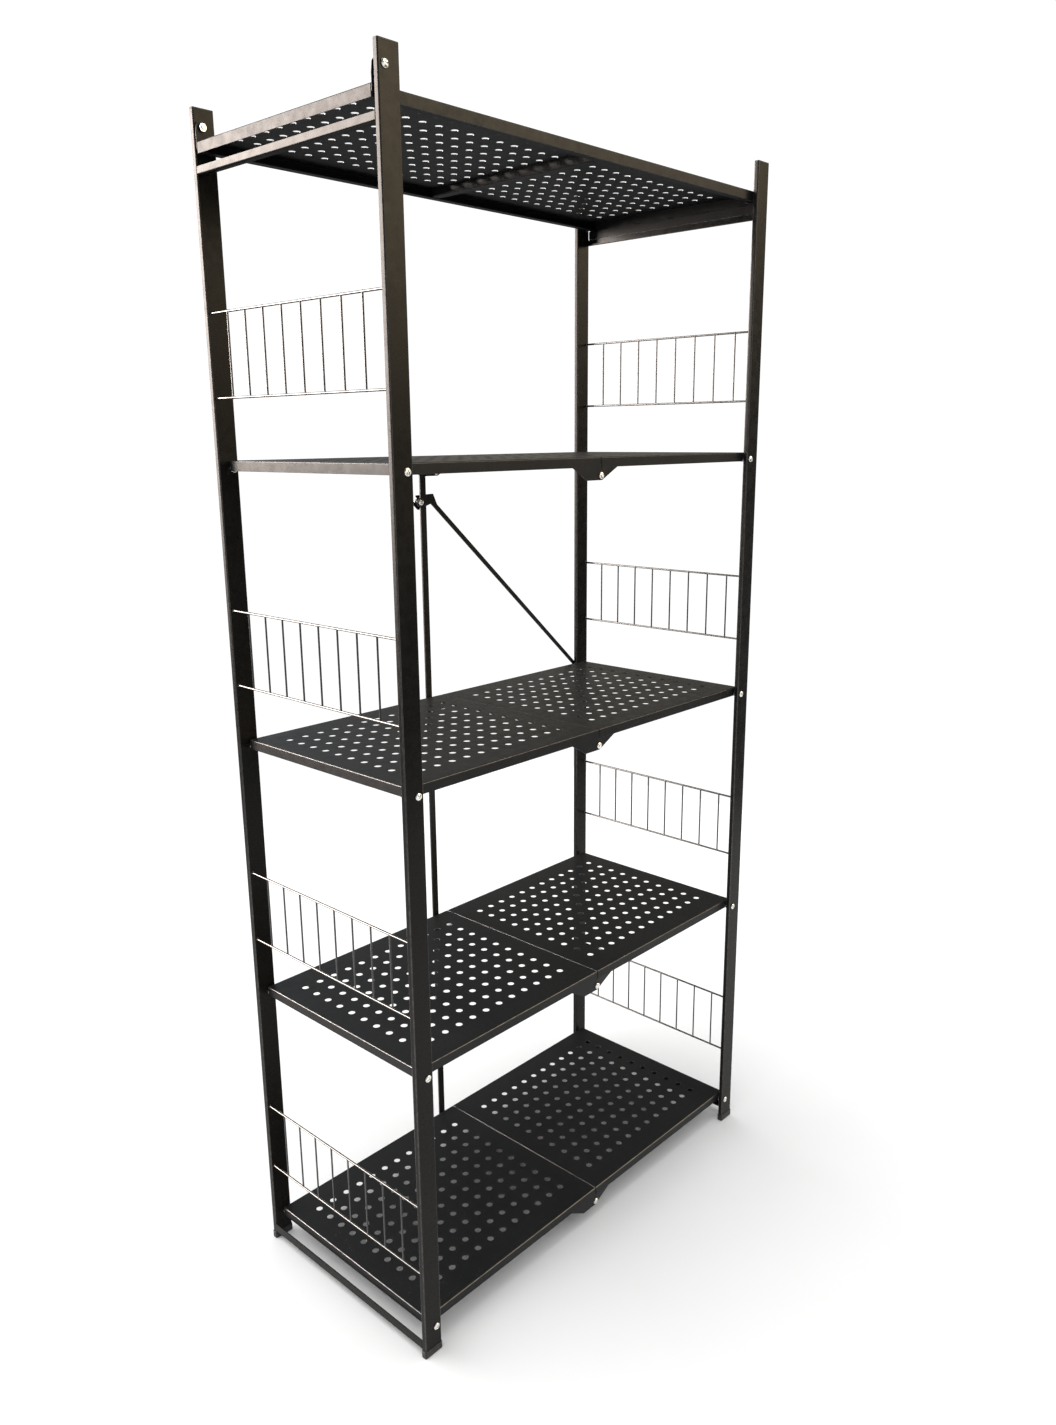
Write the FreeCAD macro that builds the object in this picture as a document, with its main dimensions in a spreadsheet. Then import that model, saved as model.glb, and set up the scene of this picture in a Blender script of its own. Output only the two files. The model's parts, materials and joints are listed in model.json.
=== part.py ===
import FreeCAD, Part
import math
import os
import re
import Sketcher

# Five-level folding steel rack.  Millimetres, +Z up.  The origin is the centre of the footprint on the
# floor; +X runs from the left side frame to the right one and +Y from the front to the back.
# Level 1 is the top shelf.  Levels 2 to 5 are each two half shelves that fold upwards at the middle.

DIMENSIONS = {
    # side frames
    "rack_width": 770,
    "rack_depth": 364,
    "tube_width": 30,
    "tube_depth": 8,
    "tube_wall": 1.2,
    "tube_corner": 1.8,
    "post_height": 1640,
    "sole": 3,
    "foot_wall": 1,
    "foot_height": 11.5,
    "cap_head": 2,
    "cap_plug": 10,
    "plug_gap": 0.1,
    "rung_sheet": 1.5,
    "rung_leg": 9,
    "top_rung_height": 10,
    "top_rung_drop": 38,
    "bottom_rung_height": 15,
    "bottom_rung_base": 12,
    # levels
    "base_plane": 52,
    "level_gap": 388,
    # wire guards
    "wire_inset": 5,
    "rail_wire_radius": 1.6,
    "bar_wire_radius": 1.3,
    "guard_low": 80,
    "guard_high": 186,
    "bar_count": 8,
    "bar_pitch": 38.7,
    # shelf trays
    "sheet": 1,
    "tray_height": 14,
    "flange_inset": 12,
    "end_inset": 14,
    "middle_gap": 0.4,
    "hole_radius": 4.9,
    "hole_rows": 10,
    "row_pitch": 27.8,
    "half_columns": 12,
    "half_pitch": 27,
    "top_columns": 28,
    "top_pitch": 26.1,
    "lip_width": 12,
    "corner_relief": 5,
    "rib_leg": 14,
    "rib_sheet": 1.2,
    "end_gap": 0.7,
    # pivots
    "pin_radius": 2.95,
    "pin_hole": 3,
    "head_radius": 5,
    "head_height": 2.4,
    "nut_radius": 5.2,
    "nut_height": 3,
    "spacer_radius": 6,
    "running_gap": 0.3,
    "thread_end": 1.2,
    "pivot_inset": 21,
    "pivot_drop": 10,
    "top_pivot_inset": 9,
    "top_pivot_rise": 17,
    "ear_width": 18,
    "ear_radius": 8,
    "ear_overlap": 10,
    # centre hinges
    "hinge_drop": 25,
    "knuckle": 6.5,
    "gusset_top": 60,
    "gusset_bottom": 30,
    "plate_sheet": 1.2,
    "plate_top": 38,
    "plate_bottom": 4,
    "plate_inset": 1.6,
    "plate_height": 11,
    # link bar and latch stud behind the shelves
    "link_offset": 20,
    "link_width": 12,
    "link_sheet": 3,
    "link_inset": 3,
    "link_end": 8,
    "stud_drop": 72,
    "stud_offset": 6,
    "stud_ear": 7,
    # brace; its hook is measured from the latch stud
    "brace_width": 8,
    "brace_eye": 7,
    "brace_sheet": 2,
    "brace_gap": 0.5,
    "hook_drop": 20,
    "hook_back": 14,
    "hook_tip": 10,
    "hook_lip": 6.5,
    "hook_heel": 9,
    "hook_peak": 17,
    "hook_rise": 31,
    "hook_neck": 34,
    "slot_gap": 0.8,
}

DOCUMENT = FreeCAD.newDocument("FoldingRack")
SHEET = DOCUMENT.addObject("Spreadsheet::Sheet", "Dims")
NODES = []

# Places that many sub-parts share, as formulas of the cells above.
LEFT = "(-rack_width / 2)"
RIGHT = "(rack_width / 2)"
BACK_REACH = "(brace_gap + brace_sheet + running_gap + head_height)"
FRONT = f"((head_height - {BACK_REACH} - rack_depth) / 2)"
BACK = f"({FRONT} + rack_depth)"
TRAY_DEPTH = "(rack_depth - 2 * flange_inset)"
HALF_LENGTH = "(rack_width / 2 - end_inset - middle_gap / 2)"
SPAN = "(rack_depth - 2 * tube_depth)"
BRACE_RUN = "(rack_width / 2 - pivot_inset + link_offset + stud_offset)"
BRACE_RISE = "(level_gap - stud_drop + pivot_drop)"
BRACE_REACH = f"sqrt({BRACE_RUN}^2 + {BRACE_RISE}^2 - hook_drop^2)"
ALONG = {"x": ((0, 1, 0), 90), "y": ((1, 0, 0), -90), "-y": ((1, 0, 0), 90), "z": ((0, 0, 1), 0)}
PATHS = {"x": "Placement.Base.x", "y": "Placement.Base.y", "z": "Placement.Base.z"}


def fill_sheet():
    for row, (alias, number) in enumerate(DIMENSIONS.items(), start=1):
        SHEET.set(f"A{row}", alias)
        SHEET.set(f"B{row}", str(number))
        SHEET.setAlias(f"B{row}", alias)
    DOCUMENT.recompute()


def plane_of(level):
    """Height of the top face of a level's shelf."""
    return f"(base_plane + {5 - level} * level_gap)"


# ---------------------------------------------------------------- formulas and primitives


def in_cells(formula):
    """Point each alias in a formula at its cell of the sheet."""
    return re.sub(r"[a-z]\w*", lambda word: aliased(word.group(0)), formula)


def aliased(word):
    return f"Dims.{word}" if word in DIMENSIONS else word


def value_of(formula):
    return float(SHEET.evalExpression(in_cells(formula)))


def bind(piece, **formulas):
    for name, formula in formulas.items():
        piece.setExpression(PATHS.get(name, name), in_cells(formula))


def box(name, x, y, z, length, width, height):
    piece = DOCUMENT.addObject("Part::Box", name)
    bind(piece, x=x, y=y, z=z, Length=length, Width=width, Height=height)
    return piece


def turn(piece, along):
    axis, angle = ALONG[along]
    piece.Placement.Rotation = FreeCAD.Rotation(FreeCAD.Vector(*axis), angle)


def rod(name, x, y, z, radius, length, along):
    piece = DOCUMENT.addObject("Part::Cylinder", name)
    turn(piece, along)
    bind(piece, x=x, y=y, z=z, Radius=radius, Height=length)
    return piece


def hexagon(name, x, y, z, radius, length, along):
    piece = DOCUMENT.addObject("Part::Prism", name)
    piece.Polygon = 6
    turn(piece, along)
    bind(piece, x=x, y=y, z=z, Circumradius=radius, Height=length)
    return piece


def fuse(name, pieces):
    piece = DOCUMENT.addObject("Part::MultiFuse", name)
    piece.Shapes = pieces
    return piece


def cut(name, base, tool):
    piece = DOCUMENT.addObject("Part::Cut", name)
    piece.Base = base
    piece.Tool = tool
    return piece


def group(name, pieces):
    piece = DOCUMENT.addObject("Part::Compound", name)
    piece.Links = pieces
    return piece


def node(piece, label):
    piece.Label = label
    NODES.append(piece)
    return piece


# ---------------------------------------------------------------- bodies and sketches


def new_body(label, x, y, z):
    body = DOCUMENT.addObject("PartDesign::Body", label)
    bind(body, x=x, y=y, z=z)
    return body


def origin_feature(body, role):
    return [feature for feature in body.Origin.OriginFeatures if feature.Role == role][0]


def new_sketch(body, plane, offset=None):
    sketch = body.newObject("Sketcher::SketchObject", f"{body.Name}_{plane[:2]}")
    sketch.AttachmentSupport = [(origin_feature(body, plane), "")]
    sketch.MapMode = "FlatFace"
    if offset:
        sketch.setExpression("AttachmentOffset.Base.z", in_cells(offset))
    return sketch


def fix_point(sketch, element, point, x, y):
    """Hold a point of the sketch at the formulas x and y."""
    for kind, formula in (("DistanceX", x), ("DistanceY", y)):
        number = value_of(formula)
        index = sketch.addConstraint(Sketcher.Constraint(kind, -1, 1, element, point, number))
        sketch.setExpression(f"Constraints[{index}]", in_cells(formula))


def polygon(sketch, corners):
    points = [FreeCAD.Vector(value_of(x), value_of(y), 0) for x, y in corners]
    first = sketch.GeometryCount
    count = len(points)
    for index in range(count):
        edge = Part.LineSegment(points[index], points[(index + 1) % count])
        sketch.addGeometry(edge, False)
    for index in range(count):
        following = first + (index + 1) % count
        sketch.addConstraint(Sketcher.Constraint("Coincident", first + index, 2, following, 1))
    for index, (x, y) in enumerate(corners):
        fix_point(sketch, first + index, 1, x, y)


def rectangle(sketch, x, y, width, height):
    right = f"{x} + {width}"
    top = f"{y} + {height}"
    polygon(sketch, [(x, y), (right, y), (right, top), (x, top)])


def circle(sketch, x, y, radius):
    centre = FreeCAD.Vector(value_of(x), value_of(y), 0)
    element = sketch.addGeometry(Part.Circle(centre, FreeCAD.Vector(0, 0, 1), value_of(radius)), False)
    fix_point(sketch, element, 3, x, y)
    index = sketch.addConstraint(Sketcher.Constraint("Radius", element, value_of(radius)))
    sketch.setExpression(f"Constraints[{index}]", in_cells(radius))


def pad(body, sketch, length, reverse=False):
    feature = body.newObject("PartDesign::Pad", "Pad")
    feature.Profile = sketch
    feature.Reversed = reverse
    bind(feature, Length=length)
    return feature


def pocket(body, sketch, length=None, reverse=False):
    """Cut a sketch to a depth, or right through when no depth is given; something must be cut."""
    DOCUMENT.recompute()
    before = body.Shape.Volume
    feature = body.newObject("PartDesign::Pocket", "Pocket")
    feature.Profile = sketch
    feature.Reversed = reverse
    if length is None:
        feature.Type = "ThroughAll"
    else:
        bind(feature, Length=length)
    DOCUMENT.recompute()
    if body.Shape.Volume >= before:
        raise RuntimeError(f"{body.Name}: a pocket cuts nothing")
    return feature


def repeat(body, features, axis, length, count):
    feature = body.newObject("PartDesign::LinearPattern", "Row")
    feature.Originals = features
    feature.Direction = (origin_feature(body, axis), [""])
    bind(feature, Length=length, Occurrences=count)
    body.Tip = feature
    return feature


def upright_edges(shape):
    """Names of the straight edges that run along Z."""
    names = []
    for index, edge in enumerate(shape.Edges, start=1):
        start, end = edge.Vertexes[0].Point, edge.Vertexes[-1].Point
        if math.hypot(start.x - end.x, start.y - end.y) < 1e-6:
            names.append(f"Edge{index}")
    return names


def rounded_bar(body, width, depth, height, radius):
    sketch = new_sketch(body, "XY_Plane")
    rectangle(sketch, "0", "0", width, depth)
    base = pad(body, sketch, height)
    DOCUMENT.recompute()
    fillet = body.newObject("PartDesign::Fillet", "Fillet")
    fillet.Base = (base, upright_edges(base.Shape))
    bind(fillet, Radius=radius)
    DOCUMENT.recompute()
    return fillet


# ---------------------------------------------------------------- side frames


def side_edge(side):
    """X of the left edge of a side's posts."""
    return LEFT if side == "left" else f"({RIGHT} - tube_width)"


def from_outside(side, inset):
    """X of a line that lies inset from the outer face of a side frame."""
    return f"({LEFT} + {inset})" if side == "left" else f"({RIGHT} - {inset})"


def post(side, place):
    y = FRONT if place == "front" else f"({BACK} - tube_depth)"
    body = new_body(f"post_{place}_{side}", side_edge(side), y, "sole")
    rounded_bar(body, "tube_width", "tube_depth", "post_height", "tube_corner")
    bore = new_sketch(body, "XY_Plane")
    rectangle(bore, "tube_wall", "tube_wall", "(tube_width - 2 * tube_wall)", "(tube_depth - 2 * tube_wall)")
    pocket(body, bore, reverse=True)
    drilling = new_sketch(body, "XZ_Plane")
    inset = "pivot_inset" if side == "left" else "(tube_width - pivot_inset)"
    for level in range(2, 6):
        circle(drilling, inset, f"{plane_of(level)} - pivot_drop - sole", "pin_hole")
    if side == "left":
        circle(drilling, "top_pivot_inset", f"{plane_of(1)} + top_pivot_rise - sole", "pin_hole")
    pocket(body, drilling)
    node(body, f"post_{place}_{side}")


def post_cap(side, place):
    y = FRONT if place == "front" else f"({BACK} - tube_depth)"
    body = new_body(f"cap_{place}_{side}", side_edge(side), y, "(sole + post_height)")
    rounded_bar(body, "tube_width", "tube_depth", "cap_head", "tube_corner")
    plug = new_sketch(body, "XY_Plane")
    inset = "(tube_wall + plug_gap)"
    rectangle(plug, inset, inset, f"(tube_width - 2 * {inset})", f"(tube_depth - 2 * {inset})")
    pad(body, plug, "cap_plug", reverse=True)
    return body


def foot(side, place):
    y = FRONT if place == "front" else f"({BACK} - tube_depth)"
    body = new_body(f"foot_{place}_{side}", f"{side_edge(side)} - foot_wall", f"{y} - foot_wall", "0")
    width = "(tube_width + 2 * foot_wall)"
    depth = "(tube_depth + 2 * foot_wall)"
    rounded_bar(body, width, depth, "foot_height", "(tube_corner + foot_wall)")
    cup = new_sketch(body, "XY_Plane", offset="foot_height")
    rectangle(cup, "foot_wall", "foot_wall", "tube_width", "tube_depth")
    pocket(body, cup, length="(foot_height - sole)")
    return body


def rung(label, side, z, height):
    """Angle between a side's two posts: one leg upright in the outer plane, one leg flat below."""
    x = LEFT if side == "left" else f"({RIGHT} - rung_leg)"
    body = new_body(label, x, f"({FRONT} + tube_depth)", z)
    sketch = new_sketch(body, "XZ_Plane")
    if side == "left":
        corners = [("0", "0"), ("rung_leg", "0"), ("rung_leg", "rung_sheet"),
                   ("rung_sheet", "rung_sheet"), ("rung_sheet", height), ("0", height)]
    else:
        corners = [("0", "0"), ("rung_leg", "0"), ("rung_leg", height),
                   ("rung_leg - rung_sheet", height), ("rung_leg - rung_sheet", "rung_sheet"),
                   ("0", "rung_sheet")]
    polygon(sketch, corners)
    pad(body, sketch, SPAN, reverse=True)
    node(body, label)


def guard(side, tier):
    """Wire guard above the shelf of level tier + 1: two rails and the upright wires between them."""
    label = f"guard_{tier}_{side}"
    x = from_outside(side, "wire_inset")
    floor = plane_of(tier + 1)
    wires = []
    for height in ("guard_low", "guard_high"):
        wires.append(rod(f"{label}_rail", x, f"{FRONT} + tube_depth", f"{floor} + {height}",
                         "rail_wire_radius", SPAN, "y"))
    for index in range(DIMENSIONS["bar_count"]):
        y = f"({FRONT} + rack_depth / 2 + ({index} - (bar_count - 1) / 2) * bar_pitch)"
        wires.append(rod(f"{label}_wire", x, y, f"{floor} + guard_low",
                         "bar_wire_radius", "(guard_high - guard_low)", "z"))
    node(fuse(label, wires), label)


# ---------------------------------------------------------------- fasteners


def from_face(place, distance):
    """Y at a distance inwards from the outer face of the front or back posts."""
    return f"({FRONT} + {distance})" if place == "front" else f"({BACK} - {distance})"


def inwards(place):
    return "y" if place == "front" else "-y"


def pin_with_head(name, x, z, place, seat, grip):
    """Head whose flat face sits at seat, with a shank that runs inwards by grip."""
    head = rod(f"{name}_head", x, from_face(place, f"({seat} - head_height)"), z,
               "head_radius", "head_height", inwards(place))
    shank = rod(f"{name}_shank", x, from_face(place, seat), z, "pin_radius", grip, inwards(place))
    return fuse(name, [head, shank])


def ring(name, x, z, place, start, length, blank):
    """Nut or spacer: a blank with a hole for the pin."""
    solid = blank(f"{name}_blank", x, from_face(place, start), z, length)
    hole = rod(f"{name}_hole", x, from_face(place, start), z, "pin_hole", length, inwards(place))
    return cut(name, solid, hole)


def nut(name, x, z, place, start):
    def blank(part, x, y, z, length):
        return hexagon(part, x, y, z, "nut_radius", length, inwards(place))
    return ring(name, x, z, place, start, "nut_height", blank)


def spacer(name, x, z, place):
    def blank(part, x, y, z, length):
        return rod(part, x, y, z, "spacer_radius", length, inwards(place))
    return ring(name, x, z, place, "tube_depth", "(flange_inset - tube_depth - running_gap)", blank)


NUT_SEAT = "(flange_inset + sheet + running_gap)"
TOP_NUT_SEAT = "(flange_inset + running_gap)"


def grip_to(seat):
    """Shank length of a screw whose nut starts at seat."""
    return f"({seat} + nut_height + thread_end)"


def pivot_fasteners(side):
    """Screws, nuts and spacers on which one side's half shelves turn."""
    x = from_outside(side, "pivot_inset")
    screws = []
    nuts = []
    spacers = []
    for level in range(2, 6):
        z = f"({plane_of(level)} - pivot_drop)"
        for place in ("front", "back"):
            tag = f"{side}_{place}_{level}"
            nuts.append(nut(f"nut_{tag}", x, z, place, NUT_SEAT))
            spacers.append(spacer(f"spacer_{tag}", x, z, place))
            if (side, place, level) != ("right", "back", 3):
                screws.append(pin_with_head(f"screw_{tag}", x, z, place, "0", grip_to(NUT_SEAT)))
    node(group(f"pivot_screws_{side}", screws), f"pivot_screws_{side}")
    node(group(f"pivot_nuts_{side}", nuts), f"pivot_nuts_{side}")
    node(group(f"pivot_spacers_{side}", spacers), f"pivot_spacers_{side}")


def brace_screw():
    """Longer screw of the right back post, which also holds the brace."""
    stand = "(brace_gap + brace_sheet + running_gap)"
    z = f"({plane_of(3)} - pivot_drop)"
    x = from_outside("right", "pivot_inset")
    screw = pin_with_head("brace_screw", x, z, "back", f"(-{stand})", f"({stand} + {grip_to(NUT_SEAT)})")
    node(screw, "brace_screw")


def top_pivot_fasteners():
    """Screws through the left posts on which the top shelf swings up, with nuts behind its ears."""
    x = from_outside("left", "top_pivot_inset")
    z = f"({plane_of(1)} + top_pivot_rise)"
    screws = []
    nuts = []
    for place in ("front", "back"):
        screws.append(pin_with_head(f"top_screw_{place}", x, z, place, "0", grip_to(TOP_NUT_SEAT)))
        nuts.append(nut(f"top_nut_{place}", x, z, place, TOP_NUT_SEAT))
    node(group("top_pivot_screws", screws), "top_pivot_screws")
    node(group("top_pivot_nuts", nuts), "top_pivot_nuts")


def hinge_pins(level):
    """Rivets of a level's centre hinge, with a head outside and a formed head inside."""
    z = f"({plane_of(level)} - hinge_drop)"
    inner = "(flange_inset + sheet + running_gap + plate_sheet + running_gap)"
    pins = []
    for place in ("front", "back"):
        name = f"hinge_pin_{level}_{place}"
        outer = pin_with_head(f"{name}_body", "0", z, place, "flange_inset", f"({inner} - flange_inset)")
        tail = rod(f"{name}_tail", "0", from_face(place, inner), z, "head_radius", "head_height",
                   inwards(place))
        pins.append(fuse(name, [outer, tail]))
    node(group(f"hinge_pins_{level}", pins), f"hinge_pins_{level}")


def link_stud(level):
    """Shoulder stud on the back gusset of a left half shelf; the link bar turns on it."""
    x = "(-link_offset)"
    z = f"({plane_of(level)} - hinge_drop)"
    name = f"link_stud_{level}"
    shank = rod(f"{name}_shank", x, from_face("back", "link_inset"), z, "pin_radius",
                "(flange_inset + sheet - link_inset)", "-y")
    head = rod(f"{name}_head", x, from_face("back", "(link_inset - running_gap - head_height)"), z,
               "head_radius", "head_height", "-y")
    neck = rod(f"{name}_neck", x, from_face("back", "(link_inset - running_gap)"), z, "pin_radius",
               "running_gap", "-y")
    shoulder_start = "(link_inset + link_sheet + running_gap)"
    shoulder = rod(f"{name}_shoulder", x, from_face("back", shoulder_start), z, "head_radius",
                   f"(flange_inset - {shoulder_start})", "-y")
    node(fuse(name, [shank, head, neck, shoulder]), name)


# ---------------------------------------------------------------- shelves


def tray(body, length):
    """Sheet tray, open below: top plate with a flange down each side.  Local z = 0 is its lower rim."""
    outside = new_sketch(body, "XY_Plane")
    rectangle(outside, "0", "0", length, TRAY_DEPTH)
    pad(body, outside, "tray_height")
    inside = new_sketch(body, "XY_Plane")
    rectangle(inside, "sheet", "sheet", f"({length} - 2 * sheet)", f"({TRAY_DEPTH} - 2 * sheet)")
    pocket(body, inside, length="(tray_height - sheet)", reverse=True)


def perforate(body, length, columns, pitch):
    """Square grid of round holes, centred on the top plate."""
    hole = new_sketch(body, "XY_Plane")
    x = f"({length} - ({columns} - 1) * {pitch}) / 2"
    y = f"({TRAY_DEPTH} - (hole_rows - 1) * row_pitch) / 2"
    circle(hole, x, y, "hole_radius")
    punch = pocket(body, hole, reverse=True)
    grid = repeat(body, [punch], "X_Axis", f"({columns} - 1) * {pitch}", columns)
    grid.Direction2 = (origin_feature(body, "Y_Axis"), [""])
    bind(grid, Length2="(hole_rows - 1) * row_pitch", Occurrences2="hole_rows")
    DOCUMENT.recompute()


def drill(body, x, z):
    drilling = new_sketch(body, "XZ_Plane")
    circle(drilling, x, z, "pin_hole")
    pocket(body, drilling)


TRAY_BASE_DROP = "tray_height"
PIVOT_HEIGHT = "(tray_height - pivot_drop)"
HINGE_HEIGHT = "(tray_height - hinge_drop)"


def left_half(level):
    """Left half shelf; its two gussets carry the centre hinge and, at the back, the link stud."""
    label = f"shelf_{level}_left"
    body = new_body(label, from_outside("left", "end_inset"), f"{FRONT} + flange_inset",
                    f"{plane_of(level)} - {TRAY_BASE_DROP}")
    tray(body, HALF_LENGTH)
    middle = f"({HALF_LENGTH} + middle_gap / 2)"
    low = f"({HINGE_HEIGHT} - knuckle)"
    gusset = new_sketch(body, "XZ_Plane")
    polygon(gusset, [(f"{middle} - gusset_top", "sheet"), (f"{middle} - gusset_top", "0"),
                     (f"{middle} - gusset_bottom", low), (middle, low),
                     (middle, f"({HINGE_HEIGHT} + knuckle)"), (HALF_LENGTH, "0"), (HALF_LENGTH, "sheet")])
    web = pad(body, gusset, "sheet", reverse=True)
    knuckle = new_sketch(body, "XZ_Plane")
    circle(knuckle, middle, HINGE_HEIGHT, "knuckle")
    eye = pad(body, knuckle, "sheet", reverse=True)
    repeat(body, [web, eye], "Y_Axis", f"({TRAY_DEPTH} - sheet)", "2")
    drill(body, "(pivot_inset - end_inset)", PIVOT_HEIGHT)
    drill(body, middle, HINGE_HEIGHT)
    link_hole = new_sketch(body, "XZ_Plane", offset=f"-{TRAY_DEPTH}")
    circle(link_hole, f"({middle} - link_offset)", HINGE_HEIGHT, "pin_hole")
    pocket(body, link_hole, length="(2 * sheet)", reverse=True)
    perforate(body, HALF_LENGTH, "half_columns", "half_pitch")
    node(body, label)


def right_half(level):
    label = f"shelf_{level}_right"
    body = new_body(label, "(middle_gap / 2)", f"{FRONT} + flange_inset",
                    f"{plane_of(level)} - {TRAY_BASE_DROP}")
    tray(body, HALF_LENGTH)
    drill(body, f"({HALF_LENGTH} - pivot_inset + end_inset)", PIVOT_HEIGHT)
    perforate(body, HALF_LENGTH, "half_columns", "half_pitch")
    node(body, label)


def hinge_plate(level, place):
    """Plate inside a right half shelf's flange, with the eye that the hinge pin turns in."""
    back = place == "back"
    y = f"({FRONT} + flange_inset + sheet)" if not back else f"({BACK} - flange_inset - sheet)"
    body = new_body(f"hinge_plate_{level}_{place}", "0", y, f"{plane_of(level)} - hinge_drop")
    rim = "(hinge_drop - tray_height)"
    web = new_sketch(body, "XZ_Plane")
    polygon(web, [("0", "(-knuckle)"), ("plate_bottom", "(-knuckle)"), ("plate_top", rim),
                  ("plate_top", f"{rim} + plate_height"), ("plate_inset", f"{rim} + plate_height"),
                  ("plate_inset", "knuckle"), ("0", "knuckle")])
    pad(body, web, "(running_gap + plate_sheet)", reverse=not back)
    eye = new_sketch(body, "XZ_Plane")
    circle(eye, "0", "0", "knuckle")
    pad(body, eye, "(running_gap + plate_sheet)", reverse=not back)
    relief = new_sketch(body, "XZ_Plane")
    rectangle(relief, "(-2 * knuckle)", "(-2 * knuckle)", "(2 * knuckle + plate_top)",
              f"(2 * knuckle + {rim})")
    pocket(body, relief, length="running_gap", reverse=back)
    hole = new_sketch(body, "XZ_Plane")
    circle(hole, "0", "0", "pin_hole")
    pocket(body, hole, reverse=back)
    return body


def hinge_plates(level):
    plates = [hinge_plate(level, place) for place in ("front", "back")]
    node(group(f"hinge_plates_{level}", plates), f"hinge_plates_{level}")


def top_shelf():
    """One-piece top shelf with return lips along its flanges."""
    body = new_body("top_shelf", LEFT, f"{FRONT} + flange_inset", f"{plane_of(1)} - {TRAY_BASE_DROP}")
    length = "rack_width"
    tray(body, length)
    lips = new_sketch(body, "XY_Plane")
    rectangle(lips, "0", "0", length, "lip_width")
    rectangle(lips, "0", f"({TRAY_DEPTH} - lip_width)", length, "lip_width")
    pad(body, lips, "sheet")
    corner = new_sketch(body, "XY_Plane")
    rectangle(corner, "0", "0", "sheet", "corner_relief")
    pocket(body, corner, length="(tray_height - sheet)", reverse=True)
    perforate(body, length, "top_columns", "top_pitch")
    node(body, "top_shelf")


def top_ear(place):
    """Tab on the outside of a flange at the top shelf's left end; it rises to the pivot screw."""
    y = f"{FRONT} + flange_inset - sheet" if place == "front" else f"{BACK} - flange_inset"
    body = new_body(f"top_ear_{place}", LEFT, y, plane_of(1))
    web = new_sketch(body, "XZ_Plane")
    rectangle(web, "0", "(-ear_overlap)", "ear_width", "(ear_overlap + top_pivot_rise)")
    pad(body, web, "sheet", reverse=True)
    crown = new_sketch(body, "XZ_Plane")
    circle(crown, "top_pivot_inset", "top_pivot_rise", "ear_radius")
    pad(body, crown, "sheet", reverse=True)
    drill(body, "top_pivot_inset", "top_pivot_rise")
    return body


def top_ears():
    node(group("top_shelf_ears", [top_ear("front"), top_ear("back")]), "top_shelf_ears")


def top_rib():
    """Stiffening angle under the middle of the top shelf."""
    body = new_body("top_shelf_rib", "0", f"({FRONT} + flange_inset + sheet)",
                    f"({plane_of(1)} - tray_height + sheet)")
    profile = new_sketch(body, "XZ_Plane")
    height = "(tray_height - 2 * sheet)"
    polygon(profile, [("0", "0"), ("rib_leg", "0"), ("rib_leg", "rib_sheet"), ("rib_sheet", "rib_sheet"),
                      ("rib_sheet", height), ("0", height)])
    pad(body, profile, f"({TRAY_DEPTH} - 2 * sheet)", reverse=True)
    node(body, "top_shelf_rib")


def top_shelf_end():
    """Deep end plate of the top shelf's free end; it comes down on the right top rung."""
    base = f"({plane_of(1)} - top_rung_drop + top_rung_height + running_gap)"
    plate = box("top_shelf_end", f"{RIGHT} - sheet", f"{FRONT} + tube_depth + end_gap", base, "sheet",
                f"({SPAN} - 2 * end_gap)", f"({plane_of(1)} - tray_height - {base})")
    node(plate, "top_shelf_end")


# ---------------------------------------------------------------- link bar and brace


def link_bar():
    """Upright flat bar pinned to every left half shelf, so that all the levels fold together."""
    bottom = f"({plane_of(5)} - hinge_drop - link_end)"
    body = new_body("link_bar", "(-link_offset - link_width / 2)",
                    f"({BACK} - link_inset - link_sheet)", bottom)
    profile = new_sketch(body, "XZ_Plane")
    rectangle(profile, "0", "0", "link_width", "(3 * level_gap + 2 * link_end)")
    pad(body, profile, "link_sheet", reverse=True)
    stud_place = ("link_width / 2 - stud_offset", "link_end + 3 * level_gap + hinge_drop - stud_drop")
    ear = new_sketch(body, "XZ_Plane")
    circle(ear, *stud_place, "stud_ear")
    pad(body, ear, "link_sheet", reverse=True)
    drilling = new_sketch(body, "XZ_Plane")
    for step in range(4):
        circle(drilling, "link_width / 2", f"link_end + {step} * level_gap", "pin_hole")
    circle(drilling, *stud_place, "pin_hole")
    pocket(body, drilling)
    node(body, "link_bar")


def latch_stud():
    """Headed stud through the link bar's ear; the brace hooks over it behind the rack."""
    x = "(-link_offset - stud_offset)"
    z = f"({plane_of(2)} - stud_drop)"
    brace_face = "(-brace_gap - brace_sheet - running_gap)"
    back_head = pin_with_head("latch_stud_body", x, z, "back", brace_face,
                              f"(link_inset + link_sheet - {brace_face})")
    front_head = rod("latch_stud_front", x, from_face("back", "(link_inset + link_sheet)"), z,
                     "head_radius", "head_height", "-y")
    node(fuse("latch_stud", [back_head, front_head]), "latch_stud")


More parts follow.
